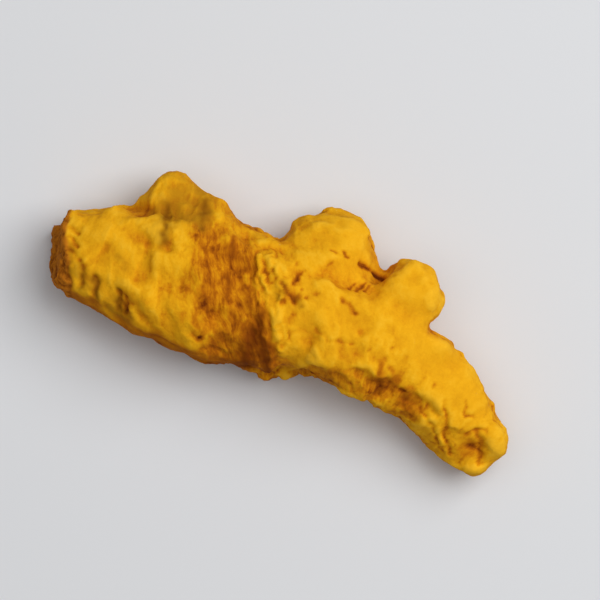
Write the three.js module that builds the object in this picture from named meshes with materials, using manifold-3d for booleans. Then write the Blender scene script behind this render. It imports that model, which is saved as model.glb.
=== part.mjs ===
// A dried turmeric finger, grown as one piece: a broad rhizome, broken off at one end, that narrows
// to a blunt finger, with a swollen shoulder, a round knob and a short side bud on one flank.
// Millimetres, +Z up, +X along the root from the broken end to the finger tip. It lies on the flat
// spots that drying left on its underside, at Z = 0.
import * as THREE from "three";
import { ImprovedNoise } from "three/addons/math/ImprovedNoise.js";
import { mergeVertices } from "three/addons/utils/BufferGeometryUtils.js";
import Module from "manifold-3d";

// Driving dimensions
const SKIN_CELL = 1.03; // side of the cells that the skin is drawn in
const REST_HEIGHT = 0.45; // drying has pressed the bulges below this height flat
const BROKEN_FACE = { point: [-32.2, 1.4, 7], normal: [-1, -0.18, 0.13], rounding: 0.9 };
const REACH = new THREE.Box3(new THREE.Vector3(-36, -8.8, -2.7), new THREE.Vector3(36, 25, 20));

// The lobes that the root is grown from. Each section is a centre x, y, z, then the half width across
// and the half height. An end is rounded over its cap length past the last section. Blend is the
// radius that fills the crease where a lobe joins the others. Squareness is 2 for an oval.
const LOBES = {
  main: {
    sections: [
      [-38, 0.6, 6.8, 4.3, 4.7],
      [-30, 1.5, 7.3, 5.4, 5.8],
      [-24, 2.4, 7.8, 7.2, 7.1],
      [-18, 3.1, 8.0, 8.3, 8.0],
      [-12, 3.6, 8.0, 8.6, 8.0],
      [-6, 4.5, 8.1, 8.3, 7.5],
      [0, 5.4, 8.6, 7.8, 7.6],
      [6, 5.6, 8.6, 7.3, 7.3],
      [12, 5.7, 8.1, 6.4, 6.8],
      [18, 4.7, 7.0, 5.5, 6.0],
      [24, 2.3, 5.8, 4.6, 5.5],
      [28.0, 0.0, 5.2, 4.2, 5.0],
    ],
    cap: 4.3,
    squareness: 2.7,
  },
  shoulder: {
    sections: [
      [-22.0, 9.2, 6.4, 6.0, 5.2],
      [-16, 8.5, 6.7, 6.0, 5.6],
      [-10, 7.7, 7.2, 5.3, 6.0],
      [-4, 7.2, 7.6, 5.4, 6.0],
    ],
    cap: 2.0,
    blend: 1.2,
    squareness: 2.6,
  },
  knob: {
    sections: [
      [1.0, 7.0, 7.2, 6.4, 7.2],
      [1.2, 13.4, 6.9, 6.6, 7.0],
    ],
    cap: 6.7,
    blend: 1.0,
    squareness: 2,
  },
  bud: {
    sections: [
      [11.4, 7.0, 8.6, 4.8, 5.2],
      [12.8, 14.0, 9.4, 4.2, 4.6],
    ],
    cap: 4.1,
    blend: 1.2,
    squareness: 3.2,
  },
  tip: {
    sections: [
      [28.0, 1.0, 6.2, 2.8, 3.2],
      [29.6, 0.2, 6.0, 2.8, 3.2],
    ],
    cap: 2.8,
    blend: 0.7,
    squareness: 2,
  },
};

// Leaf-scar rings round the main lobe: x on the axis, lean along y, ridge height and ridge width.
// A negative height is a waist.
const SCAR_RINGS = [
  { x: -27.5, lean: 0.15, height: 0.4, width: 1.2 },
  { x: -19.5, lean: -0.2, height: 0.35, width: 1.3 },
  { x: -13.0, lean: -0.45, height: 0.35, width: 1.5 },
  { x: -8.4, lean: -0.5, height: -0.6, width: 3.2 },
  { x: -3.6, lean: -0.55, height: 0.5, width: 1.5 },
  { x: 4.6, lean: -0.4, height: 0.45, width: 1.4 },
  { x: 17.6, lean: 0.3, height: 0.45, width: 1.3 },
  { x: 22.4, lean: 0.4, height: 0.4, width: 1.2 },
  { x: 26.4, lean: 0.45, height: 0.3, width: 1.1 },
];
const RING_AXIS_Y = 4.5;
const RING_WANDER = 0.9;
const RING_WEAR = 0.6;
const RING_WEAR_SCALE = 7;

// Hollows where side roots and an old shoot came away
const HOLLOWS = [
  { at: [28.2, -1.4, 9.4], radius: 1.5, depth: 1.1 },
  { at: [-19.6, 10.2, 12.6], radius: 1.8, depth: 0.9 },
  { at: [-14.2, 10.4, 13.2], radius: 1.6, depth: 0.8 },
  { at: [4.4, 14.4, 12.2], radius: 1.6, depth: 0.8 },
];

// Relief left by drying: the length scales of each layer of noise along x and across it, and its
// height. The layer drawn out along x makes the long furrows, and a folded layer stands in sharp
// crests with hollows between.
const FOLD_LEVEL = 0.5;
const FOLD_STEEPNESS = 2;
const SHRIVELLING = [
  { along: 10, across: 10, height: 0.6 },
  { along: 14, across: 3.8, height: 0.5 },
  { along: 6.5, across: 5, height: 0.7, folded: true },
  { along: 3.4, across: 3.4, height: 0.4 },
];

const LINE_STEPS = 160;
const CORE_SHARE = 0.05; // share of a section in which a point counts as on the line of centres
const GRADIENT_STEP = 0.2;
const SETTLING_ROUNDS = 3;
const LONGEST_STEP = 0.25; // share of a cell that a vertex moves in one round
const CELL_MARGIN = 0.02; // share of a cell that its vertex stays clear of the cell's sides

const wasm = await Module();
wasm.setup();
const noise = new ImprovedNoise();

// A lobe's line of centres, sampled with its sections' axes and sizes
function sampleLobe({ sections, ...rest }) {
  const line = new THREE.CatmullRomCurve3(sections.map(([x, y, z]) => new THREE.Vector3(x, y, z)));
  const sizes = new THREE.CatmullRomCurve3(
    sections.map(([, , , halfWidth, halfHeight]) => new THREE.Vector3(halfWidth, halfHeight, 0)),
  );
  const up = new THREE.Vector3(0, 0, 1);
  const samples = [];
  for (let i = 0; i <= LINE_STEPS; i++) {
    const tangent = line.getTangent(i / LINE_STEPS);
    const across = new THREE.Vector3().crossVectors(up, tangent).normalize();
    const above = new THREE.Vector3().crossVectors(tangent, across);
    const size = sizes.getPoint(i / LINE_STEPS);
    samples.push({ centre: line.getPoint(i / LINE_STEPS), tangent, across, above, size });
  }
  return { samples, ...rest };
}

// The section of a lobe that a point is nearest to, between the sampled ones
function nearestSection(point, samples) {
  let index = 0;
  let least = Infinity;
  samples.forEach(({ centre }, i) => {
    const away = point.distanceToSquared(centre);
    if (away < least) {
      least = away;
      index = i;
    }
  });
  const nearest = samples[index];
  const along = point.clone().sub(nearest.centre).dot(nearest.tangent);
  const next = samples[index + Math.sign(along)];
  if (!next) return { ...nearest, along };
  const share = Math.min(Math.abs(along) / nearest.centre.distanceTo(next.centre), 1);
  const between = (key) => nearest[key].clone().lerp(next[key], share);
  return {
    centre: between("centre"),
    across: between("across"),
    above: between("above"),
    size: between("size"),
    along: 0,
  };
}

// Roughly how far a point is outside a lobe, and less than 0 inside it
function distanceToLobe(point, { samples, cap, squareness }) {
  const { centre, across, above, size, along } = nearestSection(point, samples);
  const offset = point.clone().sub(centre);
  const acrossShare = Math.abs(offset.dot(across) / size.x);
  const aboveShare = Math.abs(offset.dot(above) / size.y);
  const section = (acrossShare ** squareness + aboveShare ** squareness) ** (1 / squareness);
  const share = Math.hypot(section, along / cap);
  return share < CORE_SHARE ? -size.y : offset.length() * (1 - 1 / share);
}

// The lesser of two distances, with the crease between them filled over a radius
function smoothLesser(a, b, radius) {
  const overlap = Math.max(radius - Math.abs(a - b), 0);
  return Math.min(a, b) - overlap ** 2 / (4 * radius);
}

function noiseAt(point, alongX, across) {
  return noise.noise(point.x / alongX, point.y / across, point.z / across);
}

// A ring wanders along the root and is worn away in places
function ringHeight(point) {
  const wander = RING_WANDER * noiseAt(point, RING_WEAR_SCALE, RING_WEAR_SCALE);
  const wear = 1 + RING_WEAR * noiseAt(point, 2 * RING_WEAR_SCALE, RING_WEAR_SCALE);
  let height = 0;
  for (const ring of SCAR_RINGS) {
    const away = point.x - ring.x - ring.lean * (point.y - RING_AXIS_Y) - wander;
    height += wear * ring.height * Math.exp(-((away / ring.width) ** 2));
  }
  return height;
}

function hollowDepth(point) {
  let depth = 0;
  for (const hollow of HOLLOWS) {
    const away = point.distanceTo(new THREE.Vector3(...hollow.at)) / hollow.radius;
    depth += hollow.depth * Math.exp(-(away ** 2));
  }
  return depth;
}

function shrivelHeight(point) {
  let height = 0;
  for (const layer of SHRIVELLING) {
    const level = noiseAt(point, layer.along, layer.across);
    height += layer.height * (layer.folded ? FOLD_LEVEL - FOLD_STEEPNESS * Math.abs(level) : level);
  }
  return height;
}

const { main, ...branches } = Object.fromEntries(
  Object.entries(LOBES).map(([name, lobe]) => [name, sampleLobe(lobe)]),
);
const brokenPoint = new THREE.Vector3(...BROKEN_FACE.point);
const brokenNormal = new THREE.Vector3(...BROKEN_FACE.normal).normalize();

// Roughly how far a point is outside the root's skin, and less than 0 inside it
function outsideRoot(point) {
  let distance = distanceToLobe(point, main) - ringHeight(point);
  for (const branch of Object.values(branches)) {
    distance = smoothLesser(distance, distanceToLobe(point, branch), branch.blend);
  }
  distance += hollowDepth(point) - shrivelHeight(point);
  const pastBreak = point.clone().sub(brokenPoint).dot(brokenNormal);
  return -smoothLesser(-distance, -pastBreak, BROKEN_FACE.rounding);
}

// Moves a point along the steepest slope of a distance until it lies on the skin
function settle(point, distance, longestStep) {
  for (let round = 0; round < SETTLING_ROUNDS; round++) {
    const slope = new THREE.Vector3();
    for (let axis = 0; axis < 3; axis++) {
      const [before, after] = [-GRADIENT_STEP, GRADIENT_STEP].map((step) => {
        const nudged = point.clone();
        return distance(nudged.setComponent(axis, nudged.getComponent(axis) + step));
      });
      slope.setComponent(axis, (after - before) / (2 * GRADIENT_STEP));
    }
    const step = THREE.MathUtils.clamp(distance(point) / slope.length(), -longestStep, longestStep);
    point.addScaledVector(slope.normalize(), -step);
  }
  return point;
}

// The closed skin where a distance is 0: a vertex in each grid cell that the skin crosses, and two
// triangles round each grid edge that it crosses
function skinOf(distance, box, cell) {
  const counts = box.getSize(new THREE.Vector3()).divideScalar(cell).ceil().addScalar(1).toArray();
  const strides = [1, counts[0], counts[0] * counts[1]];
  const gridPoint = (i, j, k) => new THREE.Vector3(i, j, k).multiplyScalar(cell).add(box.min);
  const indexOf = (grid) => grid[0] * strides[0] + grid[1] * strides[1] + grid[2] * strides[2];
  const values = new Float64Array(counts[0] * counts[1] * counts[2]);
  const gridPlaces = [];
  for (let k = 0; k < counts[2]; k++) {
    for (let j = 0; j < counts[1]; j++) {
      for (let i = 0; i < counts[0]; i++) {
        values[indexOf([i, j, k])] = distance(gridPoint(i, j, k));
        gridPlaces.push([i, j, k]);
      }
    }
  }

  const vertexOfCell = new Map();
  const positions = [];
  const vertexIn = (grid) => {
    const key = indexOf(grid);
    if (!vertexOfCell.has(key)) {
      const mean = new THREE.Vector3();
      let crossings = 0;
      for (let corner = 0; corner < 8; corner++) {
        const from = [0, 1, 2].map((axis) => grid[axis] + ((corner >> axis) & 1));
        for (let axis = 0; axis < 3; axis++) {
          if ((corner >> axis) & 1) continue;
          const start = values[indexOf(from)];
          const end = values[indexOf(from) + strides[axis]];
          if (start < 0 === end < 0) continue;
          const crossing = gridPoint(...from);
          crossing.setComponent(axis, crossing.getComponent(axis) + (cell * start) / (start - end));
          mean.add(crossing);
          crossings++;
        }
      }
      const inside = new THREE.Box3(gridPoint(...grid), gridPoint(...grid.map((i) => i + 1)));
      const settled = settle(mean.divideScalar(crossings), distance, cell * LONGEST_STEP);
      vertexOfCell.set(key, positions.length);
      positions.push(inside.expandByScalar(-CELL_MARGIN * cell).clampPoint(settled, settled));
    }
    return vertexOfCell.get(key);
  };

  const triangles = [];
  for (const grid of gridPlaces) {
    for (let axis = 0; axis < 3; axis++) {
      const start = values[indexOf(grid)];
      const end = values[indexOf(grid) + strides[axis]];
      if (grid[axis] + 1 >= counts[axis] || start < 0 === end < 0) continue;
      const [second, third] = [(axis + 1) % 3, (axis + 2) % 3];
      const quad = [[-1, -1], [0, -1], [0, 0], [-1, 0]].map(([a, b]) => {
        const around = [...grid];
        around[second] += a;
        around[third] += b;
        return vertexIn(around);
      });
      if (start >= 0) quad.reverse();
      const [p, q, r, s] = quad;
      const shortWay = positions[p].distanceTo(positions[r]) < positions[q].distanceTo(positions[s]);
      triangles.push(...(shortWay ? [p, q, r, p, r, s] : [q, r, s, q, s, p]));
    }
  }

  const geometry = new THREE.BufferGeometry().setFromPoints(positions);
  geometry.setIndex(triangles);
  return geometry;
}

// A closed geometry as a solid that can be joined and cut
function solidOf(geometry) {
  const shell = geometry.clone();
  shell.deleteAttribute("normal");
  shell.deleteAttribute("uv");
  const merged = mergeVertices(shell);
  return new wasm.Manifold(
    new wasm.Mesh({
      numProp: 3,
      vertProperties: merged.attributes.position.array,
      triVerts: new Uint32Array(merged.index.array),
    }),
  );
}

function geometryOf(solid) {
  const { vertProperties, triVerts } = solid.getMesh();
  const geometry = new THREE.BufferGeometry();
  geometry.setAttribute("position", new THREE.BufferAttribute(new Float32Array(vertProperties), 3));
  geometry.setIndex(new THREE.BufferAttribute(new Uint32Array(triVerts), 1));
  geometry.computeVertexNormals();
  return geometry;
}

// The space below the plane that the root rests on
function belowRest() {
  const side = 3 * REACH.max.x;
  return new THREE.BoxGeometry(side, side, side).translate(0, 0, REST_HEIGHT - side / 2);
}

function rhizomeGeometry() {
  const grown = solidOf(skinOf(outsideRoot, REACH, SKIN_CELL));
  const geometry = geometryOf(grown.subtract(solidOf(belowRest())));
  geometry.computeBoundingBox();
  const centre = geometry.boundingBox.getCenter(new THREE.Vector3());
  return geometry.translate(-centre.x, -centre.y, -REST_HEIGHT);
}

const turmericYellow = new THREE.MeshStandardMaterial({
  color: new THREE.Color().setRGB(0.7, 0.31, 0.012),
  roughness: 0.85,
  metalness: 0,
});

const rhizome = new THREE.Mesh(rhizomeGeometry(), turmericYellow);
rhizome.name = "turmeric_rhizome";

const turmericRoot = new THREE.Group();
turmericRoot.name = "turmeric_root";
turmericRoot.add(rhizome);

export default turmericRoot;
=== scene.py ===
import functools
import itertools
import math
import operator

import bpy
import numpy as np
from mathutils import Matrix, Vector


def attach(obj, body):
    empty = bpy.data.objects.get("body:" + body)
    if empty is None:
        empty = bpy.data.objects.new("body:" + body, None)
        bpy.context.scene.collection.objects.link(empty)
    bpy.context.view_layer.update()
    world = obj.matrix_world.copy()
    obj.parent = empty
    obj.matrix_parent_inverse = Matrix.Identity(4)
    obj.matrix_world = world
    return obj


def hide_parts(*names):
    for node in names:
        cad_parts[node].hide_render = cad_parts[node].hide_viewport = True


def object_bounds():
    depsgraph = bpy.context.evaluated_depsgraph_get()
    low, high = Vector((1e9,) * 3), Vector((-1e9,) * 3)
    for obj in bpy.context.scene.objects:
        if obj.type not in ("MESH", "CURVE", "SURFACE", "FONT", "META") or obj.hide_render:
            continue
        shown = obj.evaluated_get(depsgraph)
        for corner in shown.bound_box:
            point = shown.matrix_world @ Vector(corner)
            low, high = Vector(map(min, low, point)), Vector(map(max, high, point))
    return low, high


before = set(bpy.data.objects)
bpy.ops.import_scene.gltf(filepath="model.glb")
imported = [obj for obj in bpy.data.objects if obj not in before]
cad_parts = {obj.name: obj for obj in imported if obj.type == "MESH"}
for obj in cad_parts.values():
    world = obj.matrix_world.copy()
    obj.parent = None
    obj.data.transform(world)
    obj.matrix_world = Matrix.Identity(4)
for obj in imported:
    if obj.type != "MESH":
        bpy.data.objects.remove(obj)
CAD_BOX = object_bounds()

bl_info = {
    "name": "Turmeric root",
    "version": (1, 0, 0),
    "blender": (4, 5, 0),
    "location": "3D View > Sidebar > Turmeric",
    "description": "Grows the wrinkled skin of a dried turmeric root and sets a stage for it",
    "category": "Add Mesh",
}

MM = 0.001
RHIZOME_NODE = "turmeric_rhizome"
SKIN_SLOT = "turmeric_skin"

# How growth rings lean: at each x, how far a ring moves along X for each step along Y
RING_LEAN = [
    (-30, 0.1), (-22, -0.2), (-13, -0.5), (-7, -0.68), (0, -0.7), (8, -0.35), (14, 0), (20, 0.3), (26, 0.45),
]
RING_AXIS_Y = -2.9

# Rubbed spots of the upper face: x, y, radius and how smooth they are
WORN_SPOTS = {
    "bud": (13.0, 6.8, 5.0, 1.0),
    "knob": (2.0, 10.0, 4.5, 1.0),
    "stub": (-25.5, -3.2, 5.0, 0.7),
    "segment": (4.5, -1.6, 5.5, 0.8),
}

# How the finger's rubbed flank leans along Y over X
FINGER_FLANK_LEAN = 0.5

# The lower edge of the stub's face, darkened with painted shade
STUB_EDGE = [(-29.5, -7.9), (-26.6, -8.8), (-22.6, -10.0), (-19.3, -11.2)]
STUB_EDGE_WIDTH = 1.5

# How strong the painted shade is on the flank past the main lobe, and on the patches of painted shade on the
# other sides and underneath
FLANK_SHADE_SHARE = 0.6
SHADE_PATCH_SHARE = 0.55

# The fine folds' share of the height, and the level that folds swing about
FINE_FOLD_SHARE = 0.35
FOLD_LEVEL = 0.45

# Loose flakes: shares of the small ones and of the strokes in their height, the gaps between them in
# shares of their length, how much small gaps count, and how flaky all the skin is
SMALL_FLAKE_SHARE = 0.4
FLAKE_STROKE_SHARE = 1.4
FLAKE_GAP = (0.05, 0.3)
SMALL_GAP_LEVEL = 0.6
FLAKES_ALL_OVER = 0.3

# The collar that the second segment ends in, by place along the rings: its folds with their widths and
# shares of height, the ends of the step that they stand on, its share, and how soon it runs out
COLLAR_FOLDS = [(-2.7, 0.5, 0.7), (-1.4, 0.4, 0.6), (-0.2, 0.45, 0.45), (-4.4, 0.4, 0.45)]
COLLAR_STEP = (-3.8, -2.2)
COLLAR_STEP_SHARE = 0.5
COLLAR_RUN_OUT = 2.5

# Leaf-scar lines by place along the rings, and where the groove behind one lies and its share
SCAR_LINES = [-29.0, -26.4, -21.5, -18.2, 3.4, 6.2, 9.6, 14.8, 18.4, 20.6, 22.9, 25.2, 27.0]
SCAR_GROOVE_PLACE = 0.75
SCAR_GROOVE_SHARE = 0.7

# The like lines round the knob and round the bud: the middle of each and its half width along X, and
# the lines' places along Y
BRANCH_SCAR_LINES = [(2.0, 6.0, (6.4, 8.3, 10.3)), (13.0, 3.6, (6.0, 8.2))]

# The plane of the fracture across the broken end, and the ring in it that bounds the root's core
BREAK_POINT = np.array([-31.9, -6.0, 6.5])
BREAK_NORMAL = np.array([-1.0, -0.18, 0.13])
CORE_RADIUS = 2.9
CORE_RING_WIDTH = 0.55

# The plane that its lower corner is broken off by
CORNER_POINT = np.array([-30.7, -5.1, 11.0])
CORNER_NORMAL = np.array([-0.86, -0.5, 0.1])

# Grain of the fracture and of the skin: seed, length and share of its height
BREAK_GRAIN = [(71, 1.8, 1.2), (72, 0.8, 0.72), (73, 0.4, 0.36)]
GRAIN = [(95, 2.4, 1.0), (96, 1.1, 0.55), (97, 0.5, 0.3)]

# How far the fracture is sunk, and its ring in it, in shares of its depth
BREAK_SINK = 0.4

# Lines pressed into the upper face: places along them, width, depth and how dark they are, the darkness
# being painted shade in the groove
CREASES = {
    "knob root": ([(5.2, 7.4), (6.6, 7.2), (8.2, 7.0), (9.2, 6.8)], 0.4, 0.4, 0.8),
    "knob nick": ([(1.2, 7.7), (1.9, 7.4)], 0.3, 0.2, 0.6),
    "second knob nick": ([(2.7, 7.7), (3.4, 7.4)], 0.3, 0.2, 0.7),
    "knob slit": ([(6.7, 5.4), (6.2, 4.0)], 0.3, 0.2, 0.5),
    "second knob slit": ([(7.5, 5.4), (7.1, 4.4)], 0.25, 0.15, 0.4),
    "third knob slit": ([(5.6, 4.8), (5.2, 3.9)], 0.25, 0.15, 0.4),
    "face slit": ([(5.0, 2.4), (5.8, 1.8), (7.4, 1.3)], 0.4, 0.25, 0.45),
    "faint slits": ([(3.2, -2.6), (5.4, -3.2), (8.4, -2.4)], 0.3, 0.12, 0.25),
    "shoulder hollow": ([(-20.4, 3.8), (-19.5, 1.8), (-18.9, 0.6)], 1.2, 0.2, 0.0),
    "second shoulder hollow": ([(-16.2, 5.4), (-15.4, 3.6), (-14.4, 1.2)], 1.2, 0.2, 0.0),
    "third shoulder hollow": ([(-11.3, 6.8), (-10.3, 5.2)], 1.0, 0.2, 0.0),
    "stub notch": ([(-27.4, -7.4), (-26.6, -9.6)], 0.5, 0.4, 0.15),
    "second stub notch": ([(-25.2, -8.2), (-24.4, -10.2)], 0.5, 0.4, 0.15),
    "third stub notch": ([(-21.5, -8.6), (-20.9, -10.8)], 0.45, 0.4, 0.15),
    "belly notch": ([(-20.4, -8.8), (-19.9, -10.8)], 0.4, 0.3, 0.4),
    "rim curl": ([(-31.2, -3.4), (-29.6, -3.9)], 0.3, 0.3, 0.2),
    "second rim curl": ([(-30.6, -4.6), (-29.2, -5.4)], 0.3, 0.3, 0.25),
    "third rim curl": ([(-29.8, -6.2), (-28.2, -6.9)], 0.35, 0.35, 0.3),
    "collar slit": ([(-6.4, 2.5), (-5.4, 1.3), (-4.2, 0.2)], 0.35, 0.3, 0.45),
    "collar gash": ([(-2.9, 1.0), (-1.9, 0.2), (-0.6, -0.5)], 0.4, 0.3, 0.55),
    "collar foot": ([(-4.6, -1.6), (-3.9, -4.4), (-3.5, -7.2)], 0.9, 0.25, 0.0),
    "waist end": ([(-4.8, -7.0), (-3.0, -7.8), (-1.2, -8.9)], 1.8, 0.45, 0.0),
    "waist streak": ([(-9.5, -2.5), (-8.4, -3.3), (-6.9, -4.1)], 0.6, 0.12, 0.2),
    "second waist streak": ([(-11.6, -5.2), (-10.4, -6.2)], 0.5, 0.1, 0.2),
    "torn slit": ([(12.9, -3.6), (13.3, -4.9), (14.1, -7.0)], 0.4, 0.2, 0.2),
    "second torn slit": ([(14.6, -4.6), (15.4, -5.6)], 0.35, 0.15, 0.2),
    "third torn slit": ([(16.6, -5.4), (17.8, -6.2)], 0.5, 0.2, 0.2),
    "tip wrinkle": ([(22.3, -4.4), (23.6, -6.3), (24.2, -8.6), (26.0, -10.2)], 0.4, 0.35, 0.4),
    "second tip wrinkle": ([(21.0, -7.1), (23.2, -8.9), (24.4, -10.2)], 0.4, 0.3, 0.4),
    "third tip wrinkle": ([(24.9, -3.3), (25.4, -4.6)], 0.3, 0.2, 0.25),
    "tip nick": ([(25.6, -5.0), (26.6, -4.5)], 0.3, 0.2, 0.45),
    "pit crease": ([(26.9, -6.9), (27.6, -6.3), (28.9, -5.4)], 0.35, 0.25, 0.4),
    "bulb crease": ([(27.8, -6.0), (28.8, -7.3), (29.4, -8.6), (30.0, -9.8)], 0.4, 0.4, 0.45),
    "bud notch": ([(16.8, 4.2), (17.6, 3.2)], 0.5, 0.3, 0.2),
    "collar heel": ([(0.2, -10.4), (0.8, -10.9)], 1.3, 0.8, 0.0),
    "tip side": ([(28.2, -1.6), (29.0, -2.4)], 1.5, 0.7, 0.0),
}

# Lines raised on the upper face: places along them, width and height
RIDGES = {
    "bud edge": ([(11.9, 10.4), (14.5, 7.9), (16.4, 5.3)], 0.9, 0.35),
    "bud shoulder": ([(9.2, 5.8), (10.4, 7.8), (11.6, 10.2)], 0.8, 0.25),
    "bevel edge": (
        [(3.2, -7.2), (5.5, -6.0), (8.0, -4.8), (12.2, -4.2), (16.2, -4.3), (19.0, -5.6)], 0.8, 0.15
    ),
    "rim": ([(-32.0, -2.9), (-30.7, -5.1), (-28.8, -8.7)], 0.5, 0.3),
    "collar fold": ([(-7.2, 2.9), (-6.0, 0.8), (-4.1, -0.6)], 0.35, 0.38),
    "second collar fold": ([(-5.8, 3.1), (-3.6, 1.9)], 0.35, 0.3),
    "collar strand": ([(-6.6, 0.2), (-5.4, -1.2), (-4.4, -2.6)], 0.3, 0.3),
    "second collar strand": ([(-4.5, 2.6), (-3.1, 0.7), (-2.4, -0.7)], 0.3, 0.3),
    "third collar fold": ([(-2.6, -1.0), (-1.9, -2.4), (-1.3, -3.6)], 0.4, 0.4),
    "collar end": ([(-2.9, -2.8), (-1.5, -4.4), (0.6, -7.2)], 0.45, 0.3),
    "tip bulb": ([(30.3, -6.4), (30.7, -7.6)], 1.6, 0.5),
    "face corner": ([(1.0, -4.4), (2.8, -5.8)], 1.6, 0.4),
    "strip root": ([(2.4, -9.0), (4.4, -8.8)], 1.6, 0.9),
}

# Stains and painted shade on the upper face: places along them, width and how dark they are. The collar's
# apex, foot, heel and pits, the shoulder spot and the tip are painted shade in hollows; the marks on the
# waist and the strip darken the skin there
STAINS_AND_SHADE = {
    "collar apex": ([(-3.6, -3.8), (-3.5, -5.6)], 0.9, 0.7),
    "collar foot": ([(-3.6, -6.0), (-3.6, -8.4), (-3.0, -10.6)], 1.4, 0.95),
    "collar heel": ([(-2.6, -6.4), (-1.4, -8.4), (0.2, -10.2)], 1.3, 0.95),
    "collar pits": ([(-2.7, 0.7), (-0.7, -0.7)], 0.9, 0.3),
    "shoulder spot": ([(-14.4, 1.2), (-13.8, 0.9)], 0.45, 0.45),
    "waist top": ([(-11.0, 4.0), (-10.2, 1.7)], 0.7, 0.85),
    "waist stroke": ([(-9.6, -1.2), (-8.6, -3.2)], 0.5, 0.75),
    "second waist stroke": ([(-12.0, -3.4), (-10.8, -5.0)], 0.5, 0.5),
    "third waist stroke": ([(-6.8, -1.0), (-5.6, -3.6)], 0.45, 0.5),
    "strip start": ([(1.8, -8.9), (4.2, -8.0), (6.6, -7.3), (9.2, -6.6)], 1.1, 0.15),
    "strip": ([(12.6, -3.0), (13.6, -5.0), (14.4, -6.4)], 0.75, 0.65),
    "second strip": ([(14.4, -3.2), (16.0, -5.6)], 0.6, 0.55),
    "strip end": ([(17.0, -5.8), (18.6, -7.4)], 0.8, 0.55),
    "tip": ([(27.4, -7.2), (27.9, -9.3)], 0.9, 0.4),
}

# Dark streaks of painted shade in the same form, in the hollows of the shoulder, on the stub's face and in
# the notches of its edge, and in the collar's pits
STREAKS = {
    "shoulder": ([(-20.4, 4.3), (-19.6, 1.8), (-18.9, -0.6)], 0.7, 0.9),
    "second shoulder": ([(-16.4, 6.8), (-15.3, 3.4)], 0.6, 0.85),
    "stub face": ([(-23.6, -4.4), (-22.0, -5.4)], 0.5, 0.3),
    "stub rim": ([(-29.7, -5.8), (-28.9, -7.4)], 0.4, 0.5),
    "first tooth": ([(-27.4, -7.2), (-26.4, -9.8)], 0.45, 0.75),
    "second tooth": ([(-25.2, -8.0), (-23.8, -10.4)], 0.45, 0.75),
    "third tooth": ([(-21.6, -8.2), (-20.7, -11.0)], 0.45, 0.7),
    "collar speck": ([(-2.8, 0.9), (-2.4, 0.2)], 0.4, 0.65),
    "second collar speck": ([(-3.1, -0.4), (-2.6, -1.0)], 0.4, 0.6),
    "third collar speck": ([(-0.6, -0.2), (0.2, -0.8)], 0.4, 0.6),
}

# Pits in the upper face: x, y, radius, depth and how dark they are, the darkness being painted shade in the
# pit
PITS = [
    (-3.0, 2.0, 0.5, 0.2, 0.5),
    (-0.5, 0.3, 0.8, 0.3, 0.5),
    (-2.0, -1.2, 0.5, 0.2, 0.45),
    (-0.2, -2.4, 0.7, 0.25, 0.45),
    (-2.1, 4.1, 0.4, 0.15, 0.4),
    (0.5, -6.2, 0.5, 0.2, 0.5),
    (1.5, 1.6, 0.4, 0.15, 0.35),
    (-9.8, -9.8, 0.5, 0.2, 0.5),
    (28.1, -8.2, 0.7, 0.35, 0.6),
    (12.9, -2.7, 0.6, 0.2, 0.5),
    (-1.7, 1.6, 0.35, 0.2, 0.6),
    (-0.4, 1.5, 0.3, 0.2, 0.6),
    (0.7, 0.5, 0.35, 0.2, 0.5),
    (-2.7, -0.2, 0.3, 0.15, 0.5),
]

# The flank below the second segment's face, broken away in a slope: the middle of it, its half width, and
# how its fibres lean along X over Y and their share of its depth
STRIP = [(4.6, -8.6), (8.6, -7.6), (13.0, -6.9), (16.4, -6.2), (18.4, -7.4)]
STRIP_REACH = 2.7
STRIP_FIBRE_LEAN = 0.4
STRIP_FIBRE_SHARE = 0.2

# How closely the lines above follow the face, and the level and limits of their swelling and thinning
LINE_STEP = 0.6
LINE_LEVEL = 0.9
LINE_LIMITS = (0.4, 1.2)

# Nicks: their share between clusters, their runs along each axis, the least and most root of their size,
# and their width, with what size adds to it
FLECKS_BETWEEN_CLUSTERS = 0.1
FLECK_RUN = np.array([0.5, 1.0, 0.5])
FLECK_SIZE_ROOTS = (0.25, 1.0)
FLECK_WIDTH = 0.18
FLECK_WIDENING = 0.2

# Root scars: a weight that rules no place out, least and most radius, the pit and the dark mark inside
# the rim in shares of the radius, the pit's share of the height, and how dark the mark is
LEAST_WEIGHT = 1e-6
ROOT_SCAR_RADII = (0.6, 1.1)
ROOT_SCAR_PIT = 0.55
ROOT_SCAR_MARK = 0.6
ROOT_SCAR_PIT_SHARE = 0.9
ROOT_SCAR_DARKNESS = 0.7

# How long the skin's fine stripes, and the wrinkles on its sides, are along the rings and round them
STRIPE_LENGTHS = (0.7, 1.7, 1.7)
WRINKLE_LENGTHS = (4.5, 0.8, 0.8)

# The skin's tone runs from 0 to 1 through these colours. Its usual tone and roughness
TONES = {"umber": 0.0, "brick": 0.18, "rust": 0.36, "amber": 0.52, "gold": 0.68, "pale": 0.84, "dust": 1.0}
USUAL_TONE = 0.76
USUAL_ROUGHNESS = 0.92

# How strong the painted shade of the shoulder and the stub's edge is before mottling, and the most that they
# take its colour
SHADE_LEVEL = 0.8
SHADE_COLOUR_SHARE = 0.7


# Arrays of numbers over the skin


def lattice_corners(places):
    """The whole-number cell that each place is in, and the place inside it"""
    cell = np.floor(places).astype(int)
    return cell, places - cell


class Draws:
    """A table of drawn numbers that any cell of space can look up, the same on every run for one seed"""

    LENGTH = 256

    def __init__(self, seed):
        self.draw = np.random.default_rng(seed)
        self.order = self.draw.permutation(self.LENGTH)

    def row(self, cell):
        """The row of the table that belongs to each cell"""
        found = np.zeros(len(cell), int)
        for axis in range(3):
            found = self.order[(found + cell[:, axis]) % self.LENGTH]
        return found


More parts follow.
